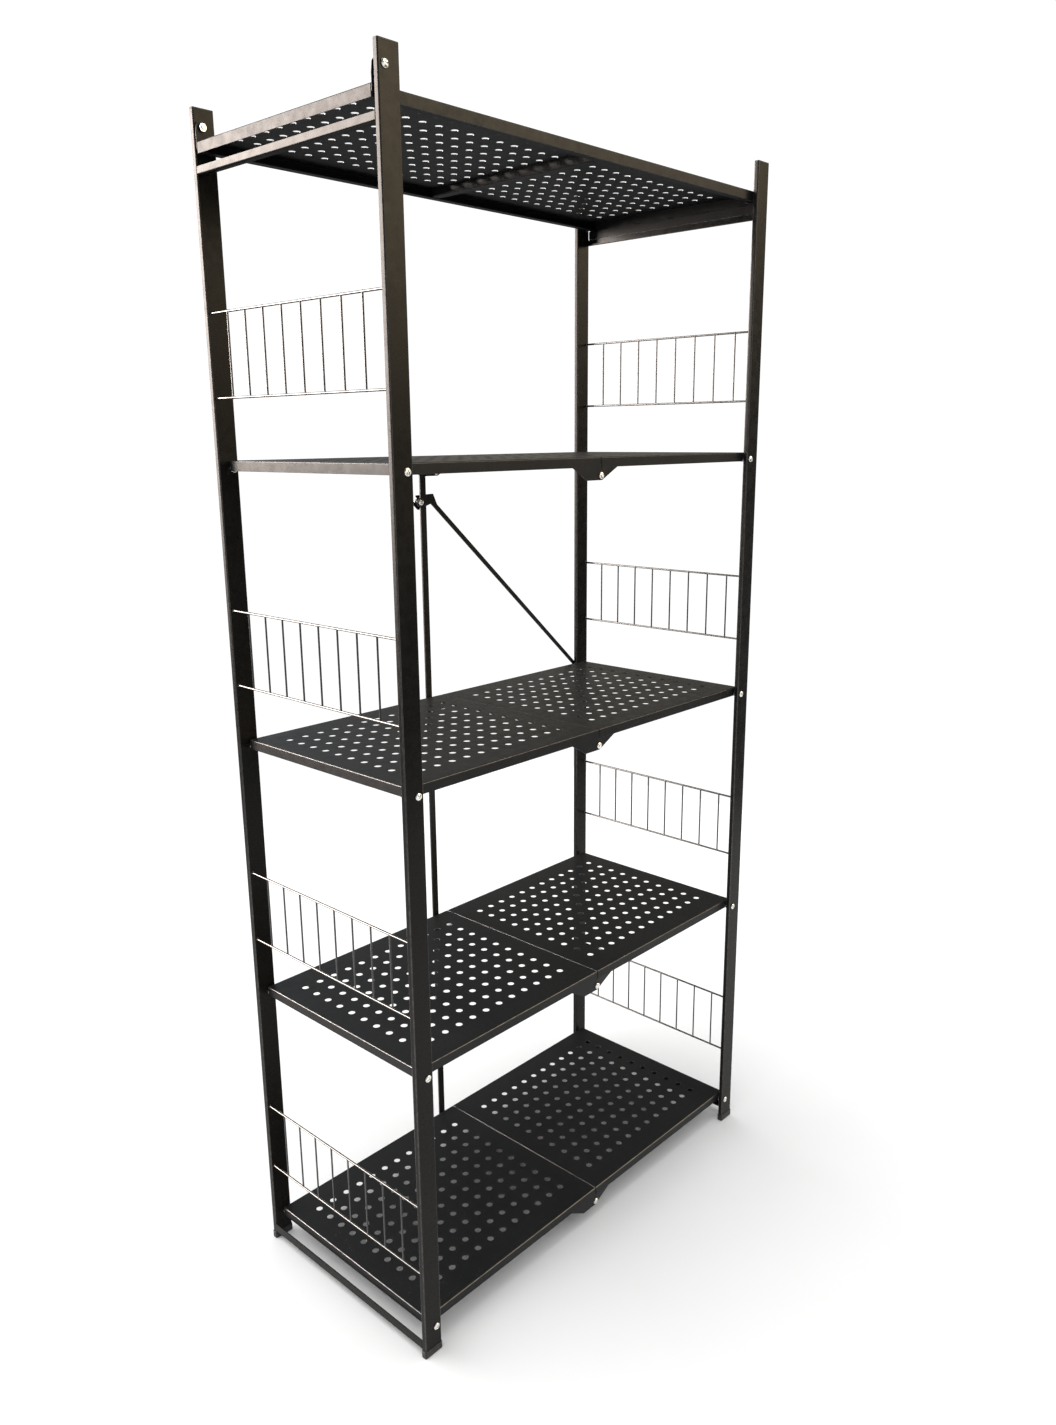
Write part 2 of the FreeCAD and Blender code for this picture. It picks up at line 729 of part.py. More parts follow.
def brace():
    """Diagonal brace on the right back post's level 3 pivot; its open hook drops over the latch stud."""
    body = new_body("brace", from_outside("right", "pivot_inset"), f"{BACK} + brace_gap",
                    f"{plane_of(3)} - pivot_drop")
    stud_x = f"-{BRACE_REACH}"
    half = "brace_width / 2"
    outline = new_sketch(body, "XZ_Plane")
    polygon(outline, [("0", f"-{half}"), ("0", half), (f"{stud_x} + hook_neck", half),
                      (f"{stud_x} + hook_peak", "hook_rise - hook_drop"),
                      (f"{stud_x} - hook_tip", "hook_lip - hook_drop"),
                      (f"{stud_x} - hook_tip", "-hook_heel - hook_drop"),
                      (f"{stud_x} + hook_heel", "-hook_heel - hook_drop"),
                      (f"{stud_x} + hook_back + hook_heel", f"-{half}")])
    pad(body, outline, "brace_sheet", reverse=True)
    end = new_sketch(body, "XZ_Plane")
    circle(end, "0", "0", "brace_eye")
    pad(body, end, "brace_sheet", reverse=True)
    slot_radius = "(pin_radius + slot_gap)"
    mouth = new_sketch(body, "XZ_Plane")
    rectangle(mouth, f"({stud_x} - 2 * hook_tip)", f"(-hook_drop - {slot_radius})", "2 * hook_tip",
              f"2 * {slot_radius}")
    pocket(body, mouth)
    holes = new_sketch(body, "XZ_Plane")
    circle(holes, "0", "0", "pin_hole")
    circle(holes, stud_x, "-hook_drop", slot_radius)
    pocket(body, holes)
    body.Placement.Rotation = FreeCAD.Rotation(FreeCAD.Vector(0, 1, 0), 1)
    lean = f"atan({BRACE_RISE} / {BRACE_RUN}) + asin(hook_drop / sqrt({BRACE_RUN}^2 + {BRACE_RISE}^2))"
    body.setExpression("Placement.Rotation.Angle", in_cells(lean))
    node(body, "brace")


# ---------------------------------------------------------------- whole rack


def side_frame(side):
    for place in ("front", "back"):
        post(side, place)
    for label, maker in ((f"post_caps_{side}", post_cap), (f"feet_{side}", foot)):
        pair = [maker(side, place) for place in ("front", "back")]
        node(group(label, pair), label)
    rung(f"top_rung_{side}", side, f"({plane_of(1)} - top_rung_drop)", "top_rung_height")
    rung(f"bottom_rung_{side}", side, "bottom_rung_base", "bottom_rung_height")
    for tier in range(1, 5):
        guard(side, tier)
    pivot_fasteners(side)


def check(piece):
    shape = piece.Shape
    if shape.isNull() or not shape.isValid() or not shape.Solids:
        raise RuntimeError(f"{piece.Label}: bad shape")


def main():
    fill_sheet()
    for side in ("left", "right"):
        side_frame(side)
    brace_screw()
    top_pivot_fasteners()
    top_shelf()
    top_ears()
    top_rib()
    top_shelf_end()
    for level in range(2, 6):
        left_half(level)
        right_half(level)
        hinge_pins(level)
        hinge_plates(level)
        link_stud(level)
    link_bar()
    latch_stud()
    brace()
    DOCUMENT.recompute()
    for piece in DOCUMENT.Objects:
        if "Invalid" in piece.State or "Error" in piece.State:
            raise RuntimeError(f"{piece.Label} failed: {piece.State}")
    os.makedirs("parts", exist_ok=True)
    for piece in NODES:
        check(piece)
    for piece in NODES:
        piece.Shape.exportStep(f"parts/{piece.Label}.step")
        print(piece.Label, len(piece.Shape.Solids), round(piece.Shape.Volume))
    print(len(NODES), "nodes")


main()
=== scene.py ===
import json
import math

import bpy
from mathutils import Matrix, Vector

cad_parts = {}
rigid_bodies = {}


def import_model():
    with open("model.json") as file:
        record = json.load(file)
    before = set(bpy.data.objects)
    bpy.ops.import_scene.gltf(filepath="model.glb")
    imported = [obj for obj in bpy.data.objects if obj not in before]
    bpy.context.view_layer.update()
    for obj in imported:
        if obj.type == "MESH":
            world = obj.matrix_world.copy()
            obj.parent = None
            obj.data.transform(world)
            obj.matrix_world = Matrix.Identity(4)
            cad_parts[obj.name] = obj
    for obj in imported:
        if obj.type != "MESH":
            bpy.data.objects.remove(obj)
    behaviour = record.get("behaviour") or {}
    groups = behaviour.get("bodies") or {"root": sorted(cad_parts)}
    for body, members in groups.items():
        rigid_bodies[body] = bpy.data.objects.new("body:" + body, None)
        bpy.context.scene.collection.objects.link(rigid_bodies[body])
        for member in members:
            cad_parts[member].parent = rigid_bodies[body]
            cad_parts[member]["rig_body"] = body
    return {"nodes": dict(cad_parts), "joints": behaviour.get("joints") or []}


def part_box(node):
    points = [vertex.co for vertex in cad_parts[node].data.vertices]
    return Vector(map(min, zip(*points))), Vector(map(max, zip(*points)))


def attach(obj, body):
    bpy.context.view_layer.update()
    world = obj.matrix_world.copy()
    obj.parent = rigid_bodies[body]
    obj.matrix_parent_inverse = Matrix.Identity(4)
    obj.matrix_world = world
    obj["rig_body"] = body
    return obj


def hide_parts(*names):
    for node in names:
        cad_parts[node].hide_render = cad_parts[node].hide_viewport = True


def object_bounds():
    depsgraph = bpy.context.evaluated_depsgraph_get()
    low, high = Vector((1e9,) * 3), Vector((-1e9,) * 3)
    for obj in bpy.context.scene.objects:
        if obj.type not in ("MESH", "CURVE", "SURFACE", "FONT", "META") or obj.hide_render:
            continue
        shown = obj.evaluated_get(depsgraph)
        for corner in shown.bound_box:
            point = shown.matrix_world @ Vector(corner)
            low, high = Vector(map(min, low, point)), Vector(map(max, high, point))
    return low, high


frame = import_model()
CAD_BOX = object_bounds()

# Sizes in metres that the pieces share; places come from the frame's own boxes and joints.
MM = 0.001
SHEET = 1.0 * MM  # thickness of the trays and of the tabs on them
BEND = 1.7 * MM  # outer radius of a tray's bends
TRAY_HEIGHT = 14 * MM
HOLE = 4.9 * MM  # radius of a perforation
TUBE_DEPTH = 8 * MM
TUBE_CORNER = 1.8 * MM
PIN = 2.95 * MM  # radius of screw shanks and rivets
HEAD = 5 * MM  # radius of screw and rivet heads
HEAD_HEIGHT = 2.4 * MM
NUT_CORNER = 5.2 * MM  # from a nut's axis to its corners
NUT_HEIGHT = 3 * MM
EYE = 6.5 * MM  # radius of the hinge eyes
HALF_GRID = (12, 10, 27 * MM, 27.8 * MM)  # columns and rows of holes, and their pitches
TOP_GRID = (28, 10, 26.1 * MM, 27.8 * MM)
PLACES = {joint["name"]: Vector(joint["pos_m"]) for joint in frame["joints"]}
LEVELS = range(2, 6)
SIDES = ("left", "right")

# ------------------------------------------------------------------ materials


def input_of(node, name, value):
    node.inputs[name].default_value = value


class Finish:
    """A material under construction: its node tree and shader."""

    def __init__(self, name):
        self.material = bpy.data.materials.new(name)
        self.material.use_nodes = True
        self.tree = self.material.node_tree
        self.shader = self.tree.nodes["Principled BSDF"]
        self.place = self.tree.nodes.new("ShaderNodeTexCoord").outputs["Object"]

    def node(self, kind, **settings):
        made = self.tree.nodes.new(kind)
        for name, value in settings.items():
            setattr(made, name, value)
        return made

    def link(self, source, target):
        self.tree.links.new(source, target)

    def stretched(self, scale):
        mapping = self.node("ShaderNodeMapping")
        input_of(mapping, "Scale", scale)
        self.link(self.place, mapping.inputs["Vector"])
        return mapping.outputs["Vector"]

    def noise(self, scale, detail=3.0, rough=0.55, place=None):
        made = self.node("ShaderNodeTexNoise")
        input_of(made, "Scale", scale)
        input_of(made, "Detail", detail)
        input_of(made, "Roughness", rough)
        self.link(place or self.place, made.inputs["Vector"])
        return made.outputs["Fac"]

    def spread(self, source, low, high, start=0.3, end=0.7):
        """Map the source's range start to end onto low to high."""
        made = self.node("ShaderNodeMapRange")
        for name, value in (("From Min", start), ("From Max", end), ("To Min", low), ("To Max", high)):
            input_of(made, name, value)
        self.link(source, made.inputs["Value"])
        return made.outputs["Result"]

    def combine(self, operation, first, second):
        made = self.node("ShaderNodeMath", operation=operation)
        for socket, value in zip(made.inputs, (first, second)):
            if isinstance(value, float):
                socket.default_value = value
            else:
                self.link(value, socket)
        return made.outputs["Value"]

    def mix(self, amount, first, second):
        made = self.node("ShaderNodeMix", data_type="RGBA")
        self.link(amount, made.inputs["Factor"])
        for name, value in (("A", first), ("B", second)):
            socket = [s for s in made.inputs if s.name == name and s.type == "RGBA"][0]
            if isinstance(value, tuple):
                socket.default_value = (*value, 1)
            else:
                self.link(value, socket)
        return [s for s in made.outputs if s.type == "RGBA"][0]

    def edges(self):
        """How far a point belongs to a bend or rim, 0 to 1, as the meshes store it."""
        return self.node("ShaderNodeAttribute", attribute_name="edge").outputs["Fac"]

    def bump(self, layers):
        """Stack of (height, strength, distance) layers on the shader's normal."""
        normal = None
        for height, strength, distance in layers:
            made = self.node("ShaderNodeBump")
            input_of(made, "Strength", strength)
            input_of(made, "Distance", distance)
            self.link(height, made.inputs["Height"])
            if normal:
                self.link(normal, made.inputs["Normal"])
            normal = made.outputs["Normal"]
        self.link(normal, self.shader.inputs["Normal"])


def coat(name, low, high, dust, roughness, grain, specular, gloss=0.0):
    """Baked-on paint over steel: orange peel, cloudy tone, a little dust, and polished edges.

    Low, high and dust are colours; grain is the scale of the finest bumps, gloss a clear coat.
    """
    made = Finish(name)
    cloud = made.noise(5.0, 4.0)
    mottle = made.noise(85.0, 5.0, 0.6)
    tone = made.mix(made.spread(cloud, 0.0, 1.0), low, high)
    specks = made.spread(made.noise(420.0, 2.0), 0.0, 1.0, 0.62, 0.74)
    settled = made.combine("MULTIPLY", specks, made.spread(mottle, 0.0, 0.55, 0.42, 0.7))
    tone = made.mix(settled, tone, dust)
    polished = made.combine("MULTIPLY", made.edges(), made.spread(made.noise(150.0, 4.0), 0.45, 0.95))
    tone = made.mix(polished, tone, tuple(4 * value + 0.05 for value in high))
    made.link(tone, made.shader.inputs["Base Color"])
    made.link(polished, made.shader.inputs["Metallic"])
    rough = made.spread(mottle, roughness - 0.05, roughness + 0.06)
    rough = made.combine("SUBTRACT", rough, made.combine("MULTIPLY", made.edges(), 0.5 * roughness))
    made.link(rough, made.shader.inputs["Roughness"])
    input_of(made.shader, "Specular IOR Level", specular)
    input_of(made.shader, "Coat Weight", gloss)
    input_of(made.shader, "Coat Roughness", 0.12)
    made.bump([(made.noise(260.0, 2.0), 0.10, 0.0002), (made.noise(grain, 2.0), 0.22, 0.00006)])
    return made.material


def plated(name):
    """Bright zinc: faint yellow-blue clouding, turning marks and dull spots."""
    made = Finish(name)
    cloud = made.noise(140.0, 3.0)
    tone = made.mix(made.spread(cloud, 0.0, 1.0), (0.86, 0.83, 0.74), (0.72, 0.75, 0.78))
    spots = made.spread(made.noise(700.0, 3.0), 0.0, 0.7, 0.55, 0.72)
    tone = made.mix(spots, tone, (0.48, 0.46, 0.42))
    made.link(tone, made.shader.inputs["Base Color"])
    input_of(made.shader, "Metallic", 1.0)
    made.link(made.spread(cloud, 0.18, 0.34), made.shader.inputs["Roughness"])
    made.bump([(made.noise(1.0, 2.0, place=made.stretched((900, 260, 900))), 0.12, 0.00004)])
    return made.material


def moulded(name):
    """Matt black plastic with a fine spark-eroded grain."""
    made = Finish(name)
    cloud = made.noise(30.0, 3.0)
    tone = made.mix(made.spread(cloud, 0.0, 1.0), (0.011, 0.011, 0.012), (0.024, 0.023, 0.022))
    scuffed = made.combine("MULTIPLY", made.edges(), made.spread(made.noise(220.0, 4.0), 0.0, 0.8))
    tone = made.mix(scuffed, tone, (0.07, 0.068, 0.065))
    made.link(tone, made.shader.inputs["Base Color"])
    made.link(made.spread(cloud, 0.46, 0.6), made.shader.inputs["Roughness"])
    input_of(made.shader, "Specular IOR Level", 0.35)
    made.bump([(made.noise(1500.0, 2.0), 0.3, 0.00008)])
    return made.material


FINISHES = {
    "frame_coat": coat("frame_powder_coat", (0.0060, 0.0056, 0.0050), (0.0105, 0.0094, 0.0082),
                       (0.06, 0.055, 0.05), roughness=0.28, grain=900.0, specular=0.10),
    "shelf_coat": coat("shelf_powder_coat", (0.0092, 0.0095, 0.0101), (0.0150, 0.0152, 0.0158),
                       (0.11, 0.108, 0.105), roughness=0.40, grain=1300.0, specular=0.13),
    "wire_coat": coat("wire_gloss_coat", (0.007, 0.007, 0.007), (0.012, 0.012, 0.012),
                      (0.09, 0.09, 0.09), roughness=0.2, grain=700.0, specular=0.5, gloss=0.5),
    "link_coat": coat("link_powder_coat", (0.006, 0.006, 0.006), (0.011, 0.010, 0.010),
                      (0.08, 0.08, 0.08), roughness=0.34, grain=900.0, specular=0.22),
    "zinc": plated("bright_zinc"),
    "cap_plastic": moulded("black_plastic"),
}

# ------------------------------------------------------------------ mesh building


class Shell:
    """Points and faces of one piece; edge holds how far each point belongs to a bend or rim."""

    def __init__(self):
        self.points = []
        self.faces = []
        self.edge = []

    def ring(self, points, edge=0.0):
        first = len(self.points)
        self.points.extend(points)
        self.edge.extend([edge] * len(points))
        return list(range(first, first + len(points)))

    def join(self, lower, upper):
        """Quads between two closed rings of the same count."""
        count = len(lower)
        for index in range(count):
            after = (index + 1) % count
            self.faces.append((lower[index], lower[after], upper[after], upper[index]))

    def face(self, ring, upwards):
        """One face through a ring that runs anticlockwise seen from above."""
        self.faces.append(tuple(ring) if upwards else tuple(reversed(ring)))

    def stack(self, rings, edges=None):
        """Closed solid through the rings, first to last; each ring runs anticlockwise seen from its end."""
        edges = edges or [0.0] * len(rings)
        made = [self.ring(ring, edge) for ring, edge in zip(rings, edges)]
        self.face(made[0], False)
        for lower, upper in zip(made, made[1:]):
            self.join(lower, upper)
        self.face(made[-1], True)


def middle_of(node):
    low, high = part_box(node)
    return (low + high) / 2


def finish_piece(shell, node, slot, crease=32):
    """Turn a shell into the piece that stands for a CAD node and rides on its body."""
    mesh = bpy.data.meshes.new(f"{node}_look")
    mesh.from_pydata([tuple(point) for point in shell.points], [], shell.faces)
    edge = mesh.attributes.new("edge", "FLOAT", "POINT")
    edge.data.foreach_set("value", shell.edge)
    mesh.validate()
    mesh.shade_smooth()
    mesh.set_sharp_from_angle(angle=math.radians(crease))
    mesh.materials.append(FINISHES[slot])
    piece = bpy.data.objects.new(f"{node}_look", mesh)
    bpy.context.scene.collection.objects.link(piece)
    weighted = piece.modifiers.new("weighted", "WEIGHTED_NORMAL")
    weighted.keep_sharp = True
    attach(piece, frame["nodes"][node]["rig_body"])
    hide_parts(node)


def arc(x, y, radius, start, end, steps):
    """Points of an arc, angles in degrees."""
    points = []
    for index in range(steps + 1):
        angle = math.radians(start + (end - start) * index / steps)
        points.append((x + radius * math.cos(angle), y + radius * math.sin(angle)))
    return points


def rounded_rectangle(x0, x1, y0, y1, r, steps):
    return (arc(x0 + r, y0 + r, r, 180, 270, steps) + arc(x1 - r, y0 + r, r, 270, 360, steps)
            + arc(x1 - r, y1 - r, r, 0, 90, steps) + arc(x0 + r, y1 - r, r, 90, 180, steps))


def shrunk(outline, inset):
    """Outline moved inwards along each corner's bisector; it runs anticlockwise."""
    count = len(outline)
    points = []
    for index in range(count):
        before, here, after = (Vector(outline[(index + step) % count]) for step in (-1, 0, 1))
        along = (here - before).normalized()
        onwards = (after - here).normalized()
        inward = Vector((-along.y - onwards.y, along.x + onwards.x))
        inward = inward.normalized() if inward.length > 1e-6 else Vector((-along.y, along.x))
        lean = max(0.35, inward.dot(Vector((-along.y, along.x))))
        points.append(tuple(here + inward * (inset / lean)))
    return points


def slab(shell, outline, start, end, place, soft):
    """Extrude an outline from start to end with softened rims; place puts (u, v, w) in the frame."""
    half = shrunk(outline, soft * 0.3)
    full = shrunk(outline, soft)
    rings = [(full, start), (half, start + soft * 0.3), (outline, start + soft),
             (outline, end - soft), (half, end - soft * 0.3), (full, end)]
    shell.stack([[place(u, v, w) for u, v in ring] for ring, w in rings], [0, 1, 0, 0, 1, 0])


def slab_xz(shell, outline, start, end, soft):
    """Extrude an anticlockwise X-Z outline along Y."""
    slab(shell, outline, -end, -start, lambda u, v, w: Vector((u, -w, v)), soft)


def slab_yz(shell, outline, start, end, soft):
    """Extrude an anticlockwise Y-Z outline along X."""
    slab(shell, outline, start, end, lambda u, v, w: Vector((w, u, v)), soft)


def layered(shell, layers, edges=None):
    """Upright solid through layers of (outline, height)."""
    shell.stack([[Vector((*point, height)) for point in outline] for outline, height in layers], edges)


def even_angles(count):
    return [2 * math.pi * index / count for index in range(count)]


def ring_round_y(seat, direction, distance, angles, radius_at):
    """Ring round an axis along Y, in front of its seat; direction is the way it faces, +1 or -1."""
    ring = []
    for angle in angles:
        radius = radius_at(angle)
        ring.append(seat + Vector((radius * math.cos(angle), direction * distance,
                                   -direction * radius * math.sin(angle))))
    return ring


def turned(shell, seat, direction, profile, segments):
    """Turn a profile of (radius, distance) about an axis along Y."""
    angles = even_angles(segments)
    rings = [ring_round_y(seat, direction, distance, angles, lambda _, r=radius: r)
             for radius, distance in profile]
    shell.stack(rings, [0.5] * len(rings))


def shank(shell, seat, direction, length):
    """Plain round pin."""
    turned(shell, seat, direction, [(PIN, 0), (PIN, length)], 20)


def collar(shell, seat, direction, radius, length, chamfer, segments):
    """Round body with chamfered ends."""
    turned(shell, seat, direction, [(radius - chamfer, 0), (radius, chamfer), (radius, length - chamfer),
                                    (radius - chamfer, length)], segments)


def dome():
    """Profile of a low domed head from its widest ring to near its crown."""
    steps, lip = 6, 0.35
    points = [(HEAD, 0.0), (HEAD, lip * HEAD_HEIGHT)]
    for index in range(1, steps + 1):
        angle = math.pi / 2 * index / (steps + 0.6)
        points.append((HEAD * math.cos(angle),
                       lip * HEAD_HEIGHT + (1 - lip) * HEAD_HEIGHT * math.sin(angle)))
    return points


def cross_angles():
    """Directions round a cross recess, dense at its corners, in radians."""
    first = [0, 7, 16.1, 24, 34]
    octant = first + [45] + [90 - value for value in reversed(first[1:])]
    return [math.radians(quarter * 90 + value) for quarter in range(4) for value in octant]


def cross_radius(angle, reach, half_width):
    """Distance from the middle of a cross recess to its wall in one direction."""
    folded = abs((angle + math.pi / 4) % (math.pi / 2) - math.pi / 4)
    along = reach / math.cos(folded)
    side = half_width / max(math.sin(folded), 1e-6)
    return min(along, side)


def pan_head(shell, seat, direction):
    """Domed screw head with a cross recess."""
    angles = cross_angles()
    reach, half_width = 0.44 * HEAD, 0.127 * HEAD
    rings = []

    def add(radius_at, distance):
        rings.append(ring_round_y(seat, direction, distance, angles, radius_at))

    add(lambda _: 0.98 * HEAD, 0.0)
    for radius, distance in dome():
        if radius > 0.5 * HEAD:
            add(lambda _, r=radius: r, 0.04 * HEAD_HEIGHT + 0.96 * distance)
    add(lambda angle: cross_radius(angle, reach, half_width) * 1.08, 0.97 * HEAD_HEIGHT)
    add(lambda angle: cross_radius(angle, reach, half_width), 0.93 * HEAD_HEIGHT)
    add(lambda angle: cross_radius(angle, reach * 0.7, half_width * 0.85), 0.42 * HEAD_HEIGHT)
    shell.stack(rings, [0.3] * len(rings))


def threaded(shell, start, direction, length):
    """Screw end: alternating crests and roots with a pointed tip."""
    pitch, root, tip = 0.8 * MM, PIN * 0.84, PIN * 0.66
    turns = max(1, round(length / pitch))
    profile = []
    for index in range(turns):
        profile.append((root, index * pitch))
        profile.append((PIN, (index + 0.5) * pitch))
    profile.append((root, turns * pitch - 0.2 * MM))
    profile.append((tip, min(length, turns * pitch)))
    turned(shell, start, direction, profile, 20)


def hex_nut(shell, seat, direction):
    """Hexagon nut with chamfered corners."""
    sixth = math.pi / 3
    chamfer = 0.35 * MM

    def flat(angle):
        folded = abs((angle + sixth / 2) % sixth - sixth / 2)
        return NUT_CORNER * math.cos(sixth / 2) / math.cos(sixth / 2 - folded)

    rings = []
    for distance, limit in ((0, 0.9), (chamfer, 1.02), (NUT_HEIGHT - chamfer, 1.02), (NUT_HEIGHT, 0.9)):
        rings.append(ring_round_y(seat, direction, distance, even_angles(48),
                                  lambda angle, widest=NUT_CORNER * limit: min(flat(angle), widest)))
    shell.stack(rings, [0.4] * len(rings))


def blob(shell, centre, rx, ry, rz):
    """Small weld bead."""
    rows = 5
    rings = []
    for row in range(rows + 1):
        lat = math.pi * (row + 0.35) / (rows + 0.7) - math.pi / 2
        rings.append([centre + Vector((rx * math.cos(lat) * math.cos(angle),
                                       ry * math.cos(lat) * math.sin(angle), rz * math.sin(lat)))
                      for angle in even_angles(10)])
    shell.stack(rings, [0.2] * len(rings))


def bead_row(shell, start, end, radius, count):
    """Row of overlapping weld beads from start to end."""
    for index in range(count):
        centre = start.lerp(end, (index + 0.5) / count)
        wobble = 1 + 0.12 * math.sin(index * 2.4)
        blob(shell, centre, radius * wobble, radius * wobble, radius)


def wire(shell, start, end, radius, segments):
    """Round wire between two points, with slightly rounded ends."""
    along = (end - start).normalized()
    across = along.orthogonal().normalized()
    other = along.cross(across)
    length = (end - start).length
    rings = []
    for scale, distance in ((0.7, 0), (1, 0.3 * radius), (1, length - 0.3 * radius), (0.7, length)):
        rings.append([start + along * distance
                      + (across * math.cos(angle) + other * math.sin(angle)) * radius * scale
                      for angle in even_angles(segments)])
    shell.stack(rings, [0.2] * len(rings))


# ------------------------------------------------------------------ perforated trays

HOLE_STEPS = 24
BEND_STEPS = 4


def grid_lines(start, end, count, pitch):
    """Cell borders of a row of holes between two plate edges, plus the margins' outer lines."""
    first = (start + end) / 2 - count / 2 * pitch
    return [start] + [first + index * pitch for index in range(count + 1)] + [end]


def tray(shell, low, high, bottom, grid):
    """Bent sheet tray, open below, with a grid of punched holes.

    Low and high are its corners in plan, high.z is its top and bottom its lower rim.
    """
    columns, rows, x_pitch, y_pitch = grid
    inner_low = Vector((low.x + BEND, low.y + BEND))
    inner_high = Vector((high.x - BEND, high.y - BEND))
    xs = grid_lines(inner_low.x, inner_high.x, columns, x_pitch)
    ys = grid_lines(inner_low.y, inner_high.y, rows, y_pitch)
    skins = []
    rims = []
    for outside, z, roll in ((True, high.z, 0.35 * MM), (False, high.z - SHEET, 0.1 * MM)):
        corner = {}
        for i, x in enumerate(xs):
            for j, y in enumerate(ys):
                corner[i, j] = shell.ring([Vector((x, y, z))])[0]
        hole_rings = {}
        for i in range(len(xs) - 1):
            for j in range(len(ys) - 1):
                square = [corner[i, j], corner[i + 1, j], corner[i + 1, j + 1], corner[i, j + 1]]
                punched = 0 < i < len(xs) - 2 and 0 < j < len(ys) - 2
                if not punched:
                    shell.face(square, outside)
                    continue
                middle = Vector(((xs[i] + xs[i + 1]) / 2, (ys[j] + ys[j + 1]) / 2))
                wide = hole_ring(shell, middle, HOLE + roll, z, 0.0)
                fan(shell, square, wide, outside)
                narrow = hole_ring(shell, middle, HOLE, z - roll if outside else z + roll, 1.0)
                if outside:
                    shell.join(wide, narrow)
                else:
                    shell.join(narrow, wide)
                hole_rings[i, j] = narrow
        skins.append(hole_rings)
        rims.append(bent_rim(shell, corner, xs, ys, z, bottom, outside))
    upper_rings, lower_rings = skins
    for key, upper in upper_rings.items():
        shell.join(upper, lower_rings[key])
    outer, inner = rims
    shell.join(inner, outer)


def hole_ring(shell, middle, radius, z, edge):
    """Ring of a hole; its first point looks towards the low corner of its cell."""
    angles = [angle - 3 * math.pi / 4 for angle in even_angles(HOLE_STEPS)]
    return shell.ring([Vector((middle.x + radius * math.cos(angle), middle.y + radius * math.sin(angle), z))
                       for angle in angles], edge)


def fan(shell, square, ring, upwards):
    """Four faces between a cell's square and its hole."""
    quarter = HOLE_STEPS // 4
    for side in range(4):
        span = [ring[(side * quarter + step) % HOLE_STEPS] for step in range(quarter + 1)]
        shell.face([square[side], square[(side + 1) % 4], *reversed(span)], upwards)


def plate_border(last_x, last_y):
    """Grid keys round a plate, each with its outward heading in degrees; corners turn in steps."""
    sides = (([(i, 0) for i in range(last_x + 1)], -90),
             ([(last_x, j) for j in range(last_y + 1)], 0),
             ([(i, last_y) for i in range(last_x, -1, -1)], 90),
             ([(0, j) for j in range(last_y, -1, -1)], 180))
    border = []
    for keys, heading in sides:
        border.extend((key, heading) for key in keys[:-1])
        border.extend((keys[-1], heading + 90 * step / BEND_STEPS) for step in range(BEND_STEPS))
    return border


def bent_rim(shell, corner, xs, ys, z, bottom, outside):
    """Bend the plate's border down into flanges; returns the ring of points at their lower rim."""
    border = plate_border(len(xs) - 1, len(ys) - 1)
    radius = BEND if outside else BEND - SHEET
    rim = radius - 0.2 * MM if outside else radius + 0.2 * MM
    rows = [[corner[key] for key, _ in border]]

    def add(reach, height, edge):
        points = []
        for (i, j), heading in border:
            angle = math.radians(heading)
            points.append(Vector((xs[i] + reach * math.cos(angle), ys[j] + reach * math.sin(angle),
                                  height)))
        rows.append(shell.ring(points, edge))

    for step, edge in zip(range(1, BEND_STEPS + 1), (0.6, 1.0, 0.6, 0.0)):
        turn = math.pi / 2 * step / BEND_STEPS
        add(radius * math.sin(turn), z - radius * (1 - math.cos(turn)), edge if outside else 0.0)
    add(radius, bottom + 0.25 * MM, 0.0)
    add(rim, bottom, 1.0)
    count = len(border)
    for upper, lower in zip(rows, rows[1:]):
        for index in range(count):
            after = (index + 1) % count
            ring = [upper[index], lower[index], lower[after]]
            if upper[after] != upper[index]:
                ring.append(upper[after])
            shell.face(ring, outside)
    return rows[-1]


# ------------------------------------------------------------------ pieces of the side frames


def build_posts():
    """Flat-sided tubes with closed ends."""
    for side in SIDES:
        for place in ("front", "back"):
            node = f"post_{place}_{side}"
            low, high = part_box(node)
            shell = Shell()
            outline = rounded_rectangle(low.x, high.x, low.y, high.y, TUBE_CORNER, 5)
            tight = shrunk(outline, 0.2 * MM)
            layered(shell, [(tight, low.z), (outline, low.z + 0.3 * MM), (outline, high.z - 0.3 * MM),
                            (tight, high.z)])
            mark_corners(shell, low, high)
            finish_piece(shell, node, "frame_coat")


def mark_corners(shell, low, high):
    """Points on a post's rounded corners count as edges."""
    for index, point in enumerate(shell.points):
        near_x = min(point.x - low.x, high.x - point.x) < 0.7 * TUBE_CORNER
        near_y = min(point.y - low.y, high.y - point.y) < 0.7 * TUBE_CORNER
        shell.edge[index] = 1.0 if near_x and near_y else 0.0


def build_end_pair(node, depth, corner, layers):
    """Front and back ends of a side frame, through layers of (inset in mm, height, edge) from below."""
    low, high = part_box(node)
    shell = Shell()
    for y in (low.y, high.y - depth):
        outline = rounded_rectangle(low.x, high.x, y, y + depth, corner, 5)
        layered(shell, [(shrunk(outline, inset * MM), z) for inset, z, _ in layers],
                [edge for *_, edge in layers])
    finish_piece(shell, node, "cap_plastic", 40)


